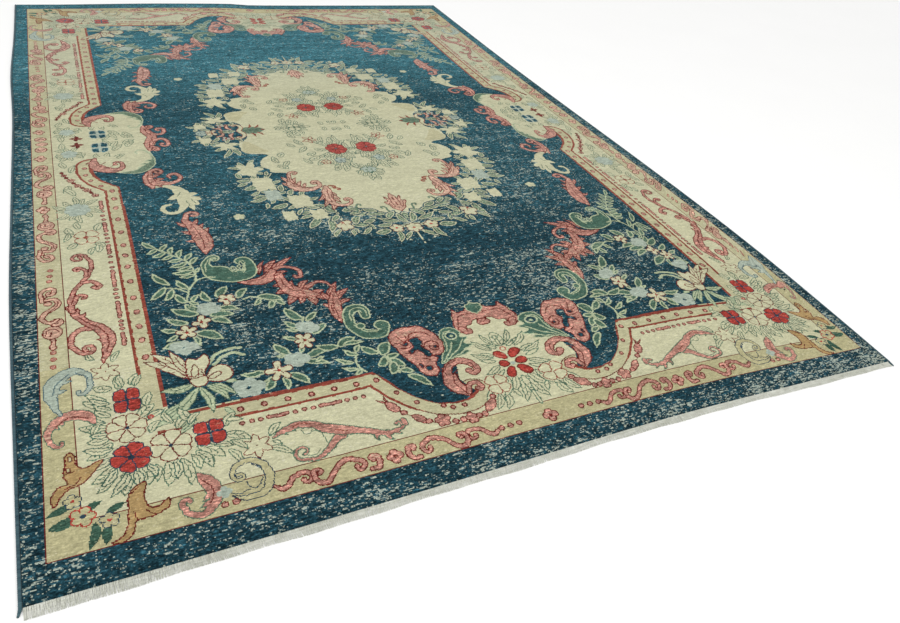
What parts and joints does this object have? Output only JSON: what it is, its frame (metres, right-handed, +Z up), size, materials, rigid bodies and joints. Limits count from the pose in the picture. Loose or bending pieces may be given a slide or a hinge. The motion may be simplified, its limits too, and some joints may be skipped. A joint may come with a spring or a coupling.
{
  "type": "hand-knotted rug",
  "caption": "Rectangular low-pile knotted wool rug with floral pattern, overcast sides, one plain end and one short fringed end, lying flat.",
  "frame": {"origin": "on the floor, under the middle of the rug's outline, fringe and tails included", "axes": "+X across the width, to the right seen from the fringed near end; +Y along the length, to the plain far end; +Z up out of the pile"},
  "size_m": [2.0668, 3.0638, 0.0102],
  "materials": {
    "pile_wool": "low, worn wool pile, matt",
    "selvedge_wool": "wrapped wool, matt",
    "binding_wool": "wrapped wool, matt",
    "warp_cotton": "cut cotton warp ends, matt"
  },
  "bodies": {
    "root": {"rug_body": "pile_wool", "selvedge_left": "selvedge_wool", "selvedge_right": "selvedge_wool", "end_binding": "binding_wool", "fringe": "warp_cotton"}
  },
  "joints": []
}
